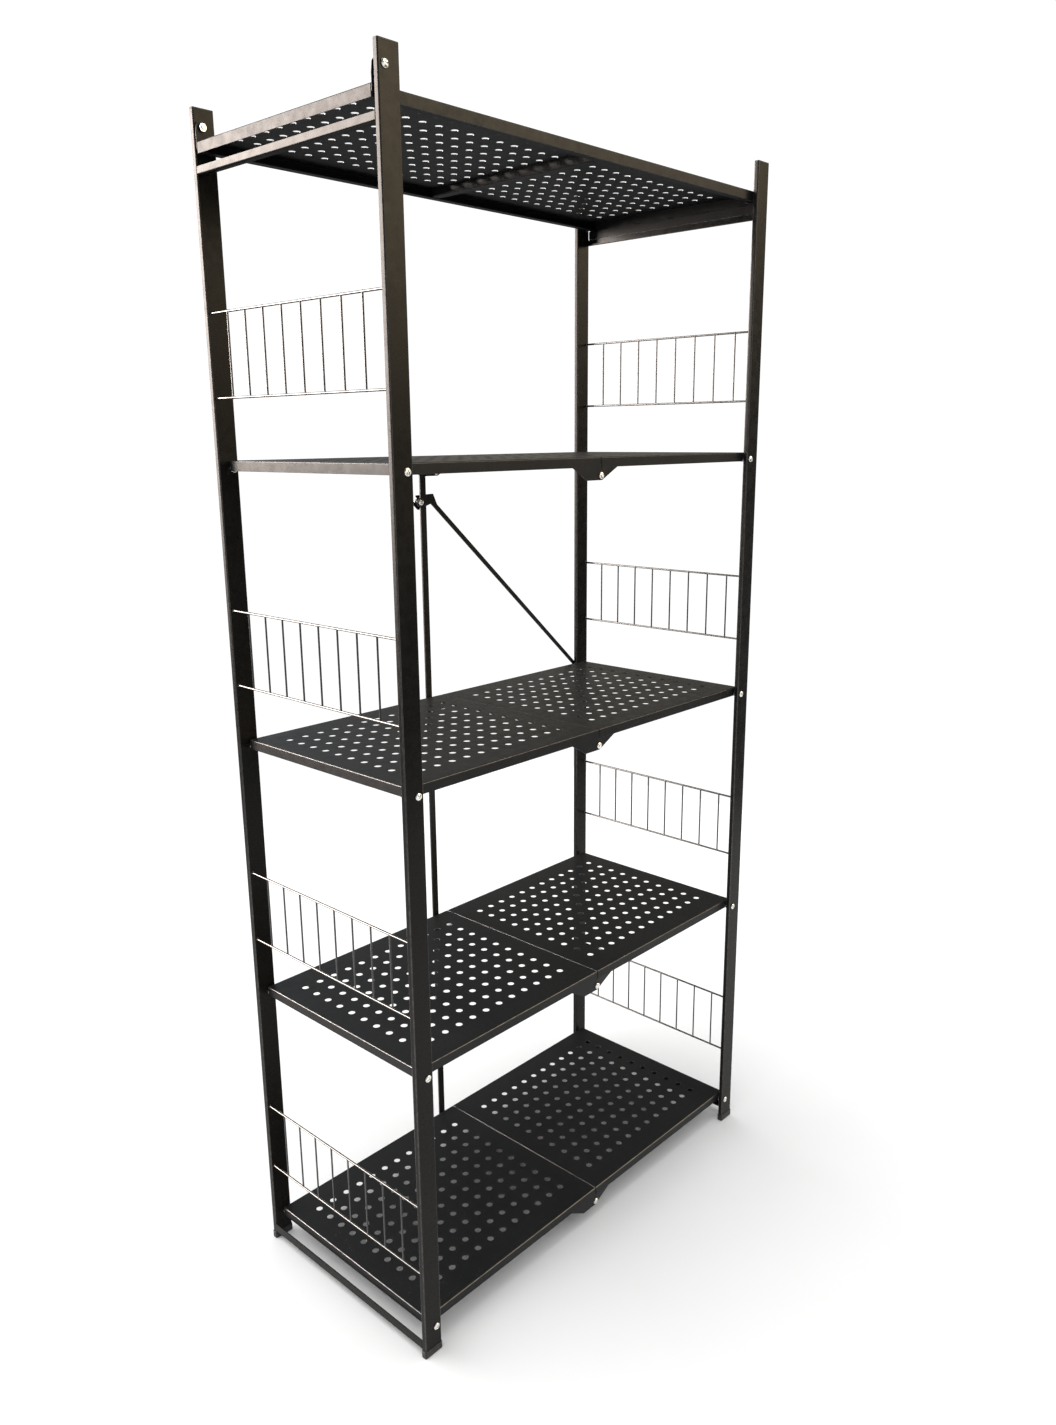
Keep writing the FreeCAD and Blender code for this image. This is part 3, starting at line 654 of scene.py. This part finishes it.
def build_ends():
    """Moulded caps and feet of the posts; a cap's narrow plug sits inside the tube."""
    for side in SIDES:
        plug, top = (corner.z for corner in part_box(f"post_caps_{side}"))
        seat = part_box(f"post_front_{side}")[1].z
        build_end_pair(f"post_caps_{side}", TUBE_DEPTH, TUBE_CORNER, [
            (1.2, plug, 0), (1.1, plug + 1.0 * MM, 0), (1.1, seat, 0), (0.0, seat + 0.02 * MM, 0.3),
            (0.0, seat + 1.1 * MM, 0.6), (0.15, seat + 1.45 * MM, 1), (0.5, seat + 1.75 * MM, 1),
            (1.1, top - 0.05 * MM, 0.6), (1.9, top, 0.2)])
        floor, top = (corner.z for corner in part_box(f"feet_{side}"))
        build_end_pair(f"feet_{side}", TUBE_DEPTH + 2 * MM, TUBE_CORNER + 1 * MM, [
            (1.6, floor, 0.3), (0.6, floor + 0.25 * MM, 1), (0.1, floor + 0.9 * MM, 1),
            (0.0, floor + 1.8 * MM, 0.4), (0.0, top - 2.6 * MM, 0), (0.25, top - 2.4 * MM, 0.3),
            (0.25, top - 2.0 * MM, 0.3), (0.0, top - 1.8 * MM, 0), (0.0, top - 0.5 * MM, 0.4),
            (0.3, top - 0.1 * MM, 1), (0.95, top, 0.6)])


def angle_outline(low, high, sheet, mirrored):
    """Section of a bent angle in X and Z: one leg upright on the outer side, one flat below."""
    inner = 0.9 * MM
    bend = sheet + inner
    outline = (arc(low.x + bend, low.z + bend, bend, 180, 270, 4)
               + [(high.x, low.z), (high.x, low.z + sheet)]
               + arc(low.x + bend, low.z + bend, inner, 270, 180, 4)
               + [(low.x + sheet, high.z), (low.x, high.z)])
    if mirrored:
        outline = [(low.x + high.x - x, z) for x, z in reversed(outline)]
    return outline


def build_rungs():
    """Bent angles between the posts, with weld beads at both ends."""
    sheet = 1.5 * MM
    for side in SIDES:
        mirrored = side == "right"
        for name in ("top_rung", "bottom_rung"):
            node = f"{name}_{side}"
            low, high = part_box(node)
            shell = Shell()
            slab_xz(shell, angle_outline(low, high, sheet, mirrored), low.y, high.y, 0.15 * MM)
            inner, far = (high.x - sheet, low.x) if mirrored else (low.x + sheet, high.x)
            flat = low.z + 1.6 * MM
            for y in (low.y + 0.3 * MM, high.y - 0.3 * MM):
                bead_row(shell, Vector((inner, y, low.z + 2.2 * MM)),
                         Vector((inner, y, high.z - 0.8 * MM)), 0.9 * MM, 6)
                bead_row(shell, Vector((inner, y, flat)), Vector((far, y, flat)), 0.8 * MM, 6)
            finish_piece(shell, node, "frame_coat")


def build_guards():
    """Two rails and eight bars of wire each, welded together and to the posts."""
    rail, bar, bars, pitch = 1.6 * MM, 1.3 * MM, 8, 38.7 * MM
    for side in SIDES:
        for tier in range(1, 5):
            node = f"guard_{tier}_{side}"
            low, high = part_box(node)
            middle = (low + high) / 2
            levels = (low.z + rail, high.z - rail)
            shell = Shell()
            for z in levels:
                wire(shell, Vector((middle.x, low.y, z)), Vector((middle.x, high.y, z)), rail, 16)
                for y in (low.y + 0.5 * MM, high.y - 0.5 * MM):
                    blob(shell, Vector((middle.x, y, z)), 1.5 * rail, 0.6 * rail, 1.5 * rail)
            for index in range(bars):
                y = middle.y + (index - (bars - 1) / 2) * pitch
                wire(shell, Vector((middle.x, y, levels[0])), Vector((middle.x, y, levels[1])), bar, 12)
                for z in levels:
                    blob(shell, Vector((middle.x, y, z)), rail * 1.08, rail * 1.45, rail * 1.2)
            finish_piece(shell, node, "wire_coat", 50)


# ------------------------------------------------------------------ fasteners

BACK_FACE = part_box("post_back_left")[1].y
FRONT_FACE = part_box("post_front_left")[0].y
SEATS = {"front": (FRONT_FACE, -1), "back": (BACK_FACE, 1)}
SHELF_GRIP = 13.3 * MM  # from a post's outer face to the nut of a shelf's pivot
TOP_GRIP = 12.3 * MM
PIVOT_DROP = 10 * MM  # from a shelf's top to its pivots


def screw(shell, x, z, place, grip=SHELF_GRIP, stand_off=0.0):
    """Pan head screw whose head sits on a post's outer face; its thread shows past the nut."""
    y, outwards = SEATS[place]
    seat = Vector((x, y + outwards * stand_off, z))
    pan_head(shell, seat, outwards)
    shank(shell, seat, -outwards, grip + stand_off)
    threaded(shell, Vector((x, y - outwards * grip, z)), -outwards, NUT_HEIGHT + 1.2 * MM)


def nut_at(shell, x, z, place, grip=SHELF_GRIP):
    y, outwards = SEATS[place]
    hex_nut(shell, Vector((x, y - outwards * grip, z)), -outwards)


def spacer_at(shell, x, z, place):
    y, outwards = SEATS[place]
    radius, length, chamfer = 6 * MM, 3.7 * MM, 0.5 * MM
    collar(shell, Vector((x, y - outwards * TUBE_DEPTH, z)), -outwards, radius, length, chamfer, 32)


def build_pivot_fasteners():
    """Screws, nuts and spacers of the shelves' pivots, and those of the top shelf."""
    for side in SIDES:
        screws, nuts, spacers = Shell(), Shell(), Shell()
        x = PLACES[f"{side}_pivot_4"].x
        for level in LEVELS:
            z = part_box(f"shelf_{level}_{side}")[1].z - PIVOT_DROP
            for place in ("front", "back"):
                nut_at(nuts, x, z, place)
                spacer_at(spacers, x, z, place)
                if (side, place, level) != ("right", "back", 3):  # the brace's own screw goes there
                    screw(screws, x, z, place)
        finish_piece(screws, f"pivot_screws_{side}", "zinc", 40)
        finish_piece(nuts, f"pivot_nuts_{side}", "zinc", 25)
        finish_piece(spacers, f"pivot_spacers_{side}", "zinc", 25)
    brace = Shell()
    place = PLACES["brace_pivot"]
    screw(brace, place.x, place.z, "back", stand_off=2.8 * MM)
    finish_piece(brace, "brace_screw", "zinc", 40)
    screws, nuts = Shell(), Shell()
    place = PLACES["top_shelf_lift"]
    for end in ("front", "back"):
        screw(screws, place.x, place.z, end, TOP_GRIP)
        nut_at(nuts, place.x, place.z, end, TOP_GRIP)
    finish_piece(screws, "top_pivot_screws", "zinc", 40)
    finish_piece(nuts, "top_pivot_nuts", "zinc", 25)


def rivet_head(shell, seat, direction):
    """Low domed head with the small dimple of its forming tool."""
    dimple = [(0.26 * HEAD, 0.97 * HEAD_HEIGHT), (0.2 * HEAD, 0.9 * HEAD_HEIGHT),
              (0.1 * HEAD, 0.8 * HEAD_HEIGHT)]
    turned(shell, seat, direction, dome()[:-1] + dimple, 28)


def build_hinge_pins():
    """Rivets through gusset and hinge plate, front and back."""
    for level in LEVELS:
        low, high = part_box(f"hinge_pins_{level}")
        z = (low.z + high.z) / 2
        shell = Shell()
        for outer, inwards in ((low.y, 1), (high.y, -1)):
            seat = Vector((0, outer + inwards * HEAD_HEIGHT, z))
            tail = Vector((0, seat.y + inwards * 2.8 * MM, z))
            rivet_head(shell, seat, -inwards)
            rivet_head(shell, tail, inwards)
            shank(shell, seat, inwards, (tail.y - seat.y) * inwards)
        finish_piece(shell, f"hinge_pins_{level}", "zinc", 40)


def build_studs():
    """Shoulder studs of the link bar, and the long stud that the brace hooks on."""
    through_bar, shoulder = 3.6 * MM, 5.7 * MM
    for level in LEVELS:
        node = f"link_stud_{level}"
        low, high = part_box(node)
        centre = middle_of(node)
        seat, inner, outer = (Vector((centre.x, high.y - HEAD_HEIGHT - depth, centre.z))
                              for depth in (0, through_bar, through_bar + shoulder))
        shell = Shell()
        rivet_head(shell, seat, 1)
        shank(shell, seat, -1, through_bar)
        collar(shell, inner, -1, HEAD, shoulder, 0.4 * MM, 24)
        shank(shell, outer, -1, outer.y - low.y)
        finish_piece(shell, node, "zinc", 40)
    low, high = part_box("latch_stud")
    centre = middle_of("latch_stud")
    rear, front = (Vector((centre.x, y, centre.z)) for y in (high.y - HEAD_HEIGHT, low.y + HEAD_HEIGHT))
    shell = Shell()
    rivet_head(shell, rear, 1)
    pan_head(shell, front, -1)
    shank(shell, rear, -1, rear.y - front.y)
    finish_piece(shell, "latch_stud", "zinc", 40)


# ------------------------------------------------------------------ shelves


def gusset_outline(x, z, rim):
    """Left half's hinge gusset: a tab that tapers from the tray's rim to the eye at (x, z)."""
    reach, taper, overlap, gap = 60 * MM, 30 * MM, 3 * MM, 0.3 * MM
    return ([(x - reach, rim + overlap), (x - reach, rim), (x - taper, z - EYE)]
            + arc(x, z, EYE, -90, 90, 12) + [(x - gap, rim), (x - gap, rim + overlap)])


def build_left_halves():
    """Trays that end just short of the centre line, with a gusset in the plane of each flange."""
    hinge_x = PLACES["centre_hinge_3"].x
    seam, hinge_drop, hair = 0.2 * MM, 25 * MM, 0.02 * MM
    for level in LEVELS:
        node = f"shelf_{level}_left"
        low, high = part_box(node)
        rim = high.z - TRAY_HEIGHT
        shell = Shell()
        tray(shell, low, Vector((hinge_x - seam, high.y, high.z)), rim, HALF_GRID)
        outline = gusset_outline(hinge_x, high.z - hinge_drop, rim)
        for y in (low.y, high.y - SHEET):
            slab_xz(shell, outline, y + hair, y + SHEET - hair, 0.2 * MM)
        finish_piece(shell, node, "shelf_coat")


def build_right_halves():
    """Plain trays; their hinge plates are pieces of their own."""
    for level in LEVELS:
        node = f"shelf_{level}_right"
        low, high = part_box(node)
        shell = Shell()
        tray(shell, low, high, high.z - TRAY_HEIGHT, HALF_GRID)
        finish_piece(shell, node, "shelf_coat")


def build_hinge_plates():
    """Inner plates of the right halves, each with two flattened rivets towards its flange."""
    for level in LEVELS:
        node = f"hinge_plates_{level}"
        low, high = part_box(node)
        z = low.z + EYE
        rim = z + 11 * MM
        near_x, far_x = 1.6 * MM, 38 * MM
        outline = ([(4 * MM, low.z), (far_x, rim), (far_x, high.z), (near_x, high.z),
                    (near_x, z + 6.3 * MM)] + arc(0, z, EYE, 76, 262, 14))
        shell = Shell()
        for start, inwards in ((low.y, 1), (high.y, -1)):
            near, far = sorted((start + inwards * 0.3 * MM, start + inwards * 1.5 * MM))
            slab_xz(shell, outline, near, far, 0.2 * MM)
            for x in (12 * MM, 29 * MM):
                spot = Vector((x, start + inwards * 0.02 * MM, rim + 6 * MM))
                turned(shell, spot, inwards, [(3.2 * MM, 0), (3.0 * MM, 0.4 * MM)], 20)
        finish_piece(shell, node, "link_coat")


def build_top_shelf():
    """The top tray with its inward lips, the rib under its middle and the tabs at its pivots."""
    low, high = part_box("top_shelf")
    shell = Shell()
    tray(shell, low, high, high.z - TRAY_HEIGHT, TOP_GRID)
    lip, inset, hair = 12 * MM, 0.5 * MM, 0.04 * MM
    for y0, y1 in ((low.y + inset, low.y + lip), (high.y - lip, high.y - inset)):
        outline = [(y0, low.z + hair), (y1, low.z + hair), (y1, low.z + SHEET), (y0, low.z + SHEET)]
        slab_yz(shell, outline, low.x + inset, high.x - inset, 0.15 * MM)
    finish_piece(shell, "top_shelf", "shelf_coat")

    low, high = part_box("top_shelf_rib")
    shell = Shell()
    slab_xz(shell, angle_outline(low, high, 1.2 * MM, False), low.y, high.y, 0.15 * MM)
    finish_piece(shell, "top_shelf_rib", "shelf_coat")

    low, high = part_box("top_shelf_ears")
    pivot = PLACES["top_shelf_lift"]
    ear, corner = 8 * MM, 2 * MM
    outline = (arc(low.x + corner, low.z + corner, corner, 180, 270, 3)
               + arc(high.x - corner, low.z + corner, corner, 270, 360, 3)
               + [(high.x, pivot.z - ear)] + arc(pivot.x, pivot.z, ear, 0, 180, 14)
               + [(low.x, pivot.z - ear)])
    shell = Shell()
    for start, outside in ((low.y, low.y), (high.y - SHEET, high.y)):
        slab_xz(shell, outline, start, start + SHEET, 0.2 * MM)
        for x in (low.x + 5 * MM, high.x - 5 * MM):
            blob(shell, Vector((x, outside, low.z + 4.5 * MM)), 1.8 * MM, 0.25 * MM, 1.8 * MM)
    finish_piece(shell, "top_shelf_ears", "shelf_coat")


def build_top_shelf_end():
    """Deep end plate that comes down on the right top rung, with small welds to the shelf above."""
    low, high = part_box("top_shelf_end")
    shell = Shell()
    outline = rounded_rectangle(low.y, high.y, low.z, high.z, 1.5 * MM, 3)
    slab_yz(shell, outline, low.x, high.x, 0.2 * MM)
    welds, half = 5, 6 * MM
    for index in range(welds):
        y = low.y + (high.y - low.y) * (index + 0.5) / welds
        bead_row(shell, Vector((low.x, y - half, high.z)), Vector((low.x, y + half, high.z)), 0.9 * MM, 7)
    finish_piece(shell, "top_shelf_end", "shelf_coat")


# ------------------------------------------------------------------ link bar and brace


def build_link_bar():
    """Flat bar with round ends and a round ear where the latch stud goes through."""
    low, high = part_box("link_bar")
    x = PLACES["link_pivot"].x
    half = high.x - x
    stud = middle_of("latch_stud")
    ear = stud.x - low.x
    side = x - half
    neck = math.sqrt(ear * ear - (side - stud.x) ** 2)
    sweep = math.degrees(math.atan2(neck, side - stud.x))
    outline = (arc(x, low.z + half, half, 180, 360, 12) + arc(x, high.z - half, half, 0, 180, 12)
               + [(side, stud.z + neck + 3 * MM)] + arc(stud.x, stud.z, ear, sweep, 360 - sweep, 16)
               + [(side, stud.z - neck - 3 * MM)])
    shell = Shell()
    slab_xz(shell, outline, low.y, high.y, 0.4 * MM)
    finish_piece(shell, "link_bar", "link_coat")


def build_brace():
    """Thin bar with an eye at its pivot and a broad hook over the latch stud, drawn along the bar."""
    low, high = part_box("brace")
    pivot = PLACES["brace_pivot"]
    stud = middle_of("latch_stud")
    half, eye, drop, slot = 4 * MM, 7 * MM, 20 * MM, PIN + 0.8 * MM
    tip, lip, heel, mouth = -10 * MM, 6.5 * MM, -9 * MM, -9 * MM
    away = Vector((pivot.x - stud.x, stud.z - pivot.z))
    reach = math.sqrt(away.length ** 2 - drop ** 2)
    lean = math.atan2(away.y, away.x) + math.atan2(drop, reach)

    def at(u, v):
        """From the stud's centre to the pivot's, both along the bar and across it."""
        return (u - reach, v - drop)

    outline = (arc(0, 0, eye, -150, 150, 16) + [at(34 * MM, drop + half)]
               + arc(*at(17 * MM, 29 * MM), 2 * MM, 50, 130, 4)
               + arc(*at(tip + 1 * MM, lip - 1.4 * MM), 1 * MM, 130, 180, 3)
               + [at(mouth, slot)] + arc(*at(0, 0), slot, 90, -90, 12) + [at(mouth, -slot)]
               + arc(*at(tip + 2 * MM, heel + 2 * MM), 2 * MM, 180, 270, 4)
               + arc(*at(7 * MM, heel + 3 * MM), 3 * MM, 270, 310, 3) + [at(23 * MM, drop - half)])
    shell = Shell()

    def place(u, v, w):
        return Vector((pivot.x + u * math.cos(lean) + v * math.sin(lean), -w,
                       pivot.z - u * math.sin(lean) + v * math.cos(lean)))

    slab(shell, outline, -high.y, -low.y, place, 0.3 * MM)
    finish_piece(shell, "brace", "link_coat")


build_posts()
build_ends()
build_rungs()
build_guards()
build_pivot_fasteners()
build_hinge_pins()
build_studs()
build_left_halves()
build_right_halves()
build_hinge_plates()
build_top_shelf()
build_top_shelf_end()
build_link_bar()
build_brace()

# ------------------------------------------------------------------ floor, light and camera

FLOOR_HALF = 1.9

# Bright parts of the room: direction, half angle of the core and of its soft edge in degrees, colour
# and strength.
ROOM = (
    ((-0.61, 0.75, 0.21), 10, 22, (1.0, 0.88, 0.80), 41.0),
    ((0.63, -0.74, 0.41), 9, 24, (1.0, 0.80, 0.52), 7.3),
    ((0.25, 0.90, 0.42), 8, 26, (0.90, 0.95, 1.0), 1.1),
    ((0.76, 0.62, 0.14), 6, 16, (1.0, 0.88, 0.68), 0.5),
    ((0.0, 1.0, -0.16), 8, 28, (1.0, 1.0, 1.0), 1.3),
    ((1.0, 0.0, -0.16), 8, 28, (1.0, 1.0, 1.0), 1.3),
    ((0.0, -1.0, -0.16), 8, 28, (1.0, 1.0, 1.0), 1.3),
    ((-1.0, 0.0, -0.16), 8, 28, (1.0, 1.0, 1.0), 1.3),
)
AMBIENT = (0.095, 0.10, 0.105)

# Lamps: name, strength, angle in degrees, direction of the light, and whether gloss shows them.
LAMPS = (("sun", 1.4, 50, (0.35, -0.25, -1.0), True), ("sky", 3.0, 180, (0, 0, -1), False))

# The camera looks at a point on the rack's middle line; its place is given along its own axes.
AIM_HEIGHT = 0.8
AZIMUTH, ELEVATION, ROLL = -47.11, 14.11, -0.493
ASIDE, ABOVE, DISTANCE = 0.02132, 0.02398, 1.72778


def build_floor():
    mesh = bpy.data.meshes.new("floor")
    mesh.from_pydata([(-FLOOR_HALF, -FLOOR_HALF, 0), (FLOOR_HALF, -FLOOR_HALF, 0),
                      (FLOOR_HALF, FLOOR_HALF, 0), (-FLOOR_HALF, FLOOR_HALF, 0)], [], [(0, 1, 2, 3)])
    made = Finish("pale_floor")
    tone = made.mix(made.spread(made.noise(1.2, 4.0), 0.0, 1.0), (0.90, 0.90, 0.895), (0.93, 0.93, 0.93))
    made.link(tone, made.shader.inputs["Base Color"])
    input_of(made.shader, "Roughness", 0.8)
    input_of(made.shader, "Specular IOR Level", 0.2)
    mesh.materials.append(made.material)
    floor = bpy.data.objects.new("floor", mesh)
    bpy.context.scene.collection.objects.link(floor)


def build_room():
    """World with a white backdrop; gloss sees a dim room with a few bright patches instead."""
    world = bpy.data.worlds.new("studio")
    world.use_nodes = True
    bpy.context.scene.world = world
    tree = world.node_tree
    toward = tree.nodes.new("ShaderNodeTexCoord").outputs["Generated"]
    total = None
    for direction, core, rim, colour, strength in ROOM:
        facing = tree.nodes.new("ShaderNodeVectorMath")
        facing.operation = "DOT_PRODUCT"
        facing.inputs[1].default_value = Vector(direction).normalized()
        tree.links.new(toward, facing.inputs[0])
        glow = tree.nodes.new("ShaderNodeMapRange")
        glow.interpolation_type = "SMOOTHSTEP"
        input_of(glow, "From Min", math.cos(math.radians(rim)))
        input_of(glow, "From Max", math.cos(math.radians(core)))
        input_of(glow, "To Max", strength)
        tree.links.new(facing.outputs["Value"], glow.inputs["Value"])
        tinted = tree.nodes.new("ShaderNodeVectorMath")
        tinted.operation = "MULTIPLY_ADD"
        tree.links.new(glow.outputs["Result"], tinted.inputs[0])
        tinted.inputs[1].default_value = colour
        if total:
            tree.links.new(total, tinted.inputs[2])
        else:
            tinted.inputs[2].default_value = AMBIENT
        total = tinted.outputs["Vector"]
    room = tree.nodes["Background"]
    tree.links.new(total, room.inputs["Color"])
    backdrop = tree.nodes.new("ShaderNodeBackground")
    input_of(backdrop, "Color", (1, 1, 1, 1))
    input_of(backdrop, "Strength", 1.05)
    choose = tree.nodes.new("ShaderNodeMixShader")
    tree.links.new(tree.nodes.new("ShaderNodeLightPath").outputs["Is Camera Ray"], choose.inputs["Fac"])
    tree.links.new(room.outputs["Background"], choose.inputs[1])
    tree.links.new(backdrop.outputs["Background"], choose.inputs[2])
    tree.links.new(choose.outputs["Shader"], tree.nodes["World Output"].inputs["Surface"])
    world.cycles_visibility.diffuse = False


def build_lamps():
    """A soft sun from the upper left back, and an even sky."""
    for name, strength, angle, direction, glossy in LAMPS:
        data = bpy.data.lights.new(name, "SUN")
        data.energy = strength
        data.angle = math.radians(angle)
        lamp = bpy.data.objects.new(name, data)
        lamp.rotation_mode = "QUATERNION"
        lamp.rotation_quaternion = Vector(direction).to_track_quat("-Z", "Y")
        lamp.visible_glossy = glossy
        bpy.context.scene.collection.objects.link(lamp)


def build_camera():
    """Camera at the viewing angle of an eye-level shot from the rack's front left corner."""
    data = bpy.data.cameras.new("camera")
    data.sensor_width = 36
    data.lens = 27.767
    camera = bpy.data.objects.new("camera", data)
    azimuth, elevation, roll = (math.radians(angle) for angle in (AZIMUTH, ELEVATION, ROLL))
    back = Vector((math.sin(azimuth) * math.cos(elevation), -math.cos(azimuth) * math.cos(elevation),
                   math.sin(elevation)))
    right = Vector((math.cos(azimuth), math.sin(azimuth), 0))
    up = back.cross(right)
    aside = math.cos(roll) * right + math.sin(roll) * up
    above = -math.sin(roll) * right + math.cos(roll) * up
    middle = (CAD_BOX[0] + CAD_BOX[1]) / 2
    aim = Vector((middle.x, middle.y, AIM_HEIGHT))
    camera.location = aim + ASIDE * aside + ABOVE * above + DISTANCE * back
    basis = camera.matrix_basis.copy()
    for row in range(3):
        basis[row][0], basis[row][1], basis[row][2] = aside[row], above[row], back[row]
    camera.matrix_basis = basis
    bpy.context.scene.collection.objects.link(camera)
    bpy.context.scene.camera = camera


build_floor()
build_room()
build_lamps()
build_camera()
bpy.context.scene.view_settings.view_transform = "Standard"
